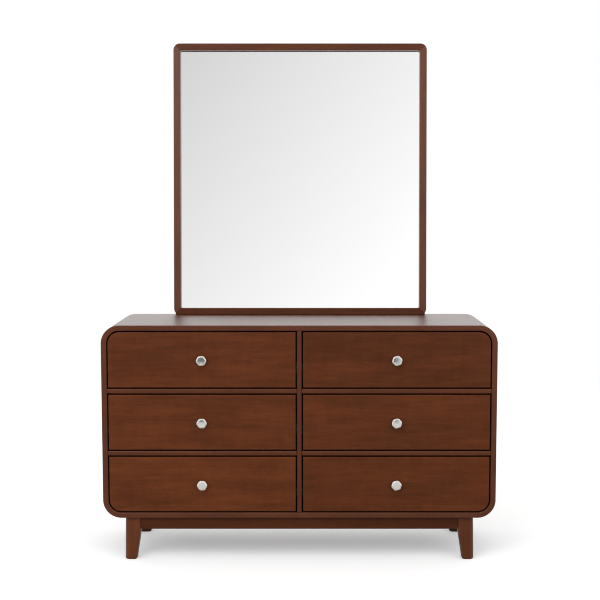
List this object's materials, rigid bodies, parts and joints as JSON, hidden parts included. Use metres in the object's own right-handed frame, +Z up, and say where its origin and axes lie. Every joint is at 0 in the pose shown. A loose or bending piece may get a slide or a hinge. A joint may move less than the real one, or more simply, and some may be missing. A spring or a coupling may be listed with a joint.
{
  "type": "dresser with mirror",
  "caption": "Dresser with two stacks of flush drawers in a round-cornered walnut case on short tapered legs, with a large framed mirror leaning back on top.",
  "frame": {"origin": "on the floor, under the middle of the whole piece", "axes": "+Z up, the drawers face -Y, +X is to the right of someone who looks at the drawers"},
  "size_m": [1.4, 0.5069, 1.8792],
  "materials": {
    "walnut_lacquer": "satin",
    "drawer_wood": "matte",
    "plywood": "matte",
    "support_wood": "matte",
    "polished_nickel": "polished",
    "mirror_glass": "polished",
    "slide_coat": "satin"
  },
  "bodies": {
    "dresser": {"back_panel": "plywood", "bottom_left_corner": "walnut_lacquer", "bottom_panel": "walnut_lacquer", "bottom_right_corner": "walnut_lacquer", "centre_partition": "walnut_lacquer", "drawer_rails": "walnut_lacquer", "front_apron": "walnut_lacquer", "front_left_leg": "walnut_lacquer", "front_right_leg": "walnut_lacquer", "left_apron": "walnut_lacquer", "left_side_panel": "walnut_lacquer", "mirror_backboard": "plywood", "mirror_bottom_rail": "walnut_lacquer", "mirror_glass": "mirror_glass", "mirror_left_stile": "walnut_lacquer", "mirror_right_stile": "walnut_lacquer", "mirror_support_left": "support_wood", "mirror_support_right": "support_wood", "mirror_top_rail": "walnut_lacquer", "rear_apron": "walnut_lacquer", "rear_left_leg": "walnut_lacquer", "rear_rails": "support_wood", "rear_right_leg": "walnut_lacquer", "right_apron": "walnut_lacquer", "right_side_panel": "walnut_lacquer", "top_left_corner": "walnut_lacquer", "top_panel": "walnut_lacquer", "top_right_corner": "walnut_lacquer", "wall_slides": "slide_coat"},
    "upper_left_drawer": {"upper_left_drawer_bottom": "plywood", "upper_left_drawer_box": "drawer_wood", "upper_left_drawer_front": "walnut_lacquer", "upper_left_drawer_knob": "polished_nickel", "upper_left_drawer_slides": "slide_coat"},
    "upper_right_drawer": {"upper_right_drawer_bottom": "plywood", "upper_right_drawer_box": "drawer_wood", "upper_right_drawer_front": "walnut_lacquer", "upper_right_drawer_knob": "polished_nickel", "upper_right_drawer_slides": "slide_coat"},
    "middle_left_drawer": {"middle_left_drawer_bottom": "plywood", "middle_left_drawer_box": "drawer_wood", "middle_left_drawer_front": "walnut_lacquer", "middle_left_drawer_knob": "polished_nickel", "middle_left_drawer_slides": "slide_coat"},
    "middle_right_drawer": {"middle_right_drawer_bottom": "plywood", "middle_right_drawer_box": "drawer_wood", "middle_right_drawer_front": "walnut_lacquer", "middle_right_drawer_knob": "polished_nickel", "middle_right_drawer_slides": "slide_coat"},
    "lower_left_drawer": {"lower_left_drawer_bottom": "plywood", "lower_left_drawer_box": "drawer_wood", "lower_left_drawer_front": "walnut_lacquer", "lower_left_drawer_knob": "polished_nickel", "lower_left_drawer_slides": "slide_coat"},
    "lower_right_drawer": {"lower_right_drawer_bottom": "plywood", "lower_right_drawer_box": "drawer_wood", "lower_right_drawer_front": "walnut_lacquer", "lower_right_drawer_knob": "polished_nickel", "lower_right_drawer_slides": "slide_coat"}
  },
  "joints": [
    {"name": "upper_left_drawer_slide", "type": "slide", "parent": "dresser", "child": "upper_left_drawer", "axis": [0, -1, 0], "range_m": [0, 0.26]},
    {"name": "upper_right_drawer_slide", "type": "slide", "parent": "dresser", "child": "upper_right_drawer", "axis": [0, -1, 0], "range_m": [0, 0.26]},
    {"name": "middle_left_drawer_slide", "type": "slide", "parent": "dresser", "child": "middle_left_drawer", "axis": [0, -1, 0], "range_m": [0, 0.26]},
    {"name": "middle_right_drawer_slide", "type": "slide", "parent": "dresser", "child": "middle_right_drawer", "axis": [0, -1, 0], "range_m": [0, 0.26]},
    {"name": "lower_left_drawer_slide", "type": "slide", "parent": "dresser", "child": "lower_left_drawer", "axis": [0, -1, 0], "range_m": [0, 0.26]},
    {"name": "lower_right_drawer_slide", "type": "slide", "parent": "dresser", "child": "lower_right_drawer", "axis": [0, -1, 0], "range_m": [0, 0.26]}
  ]
}
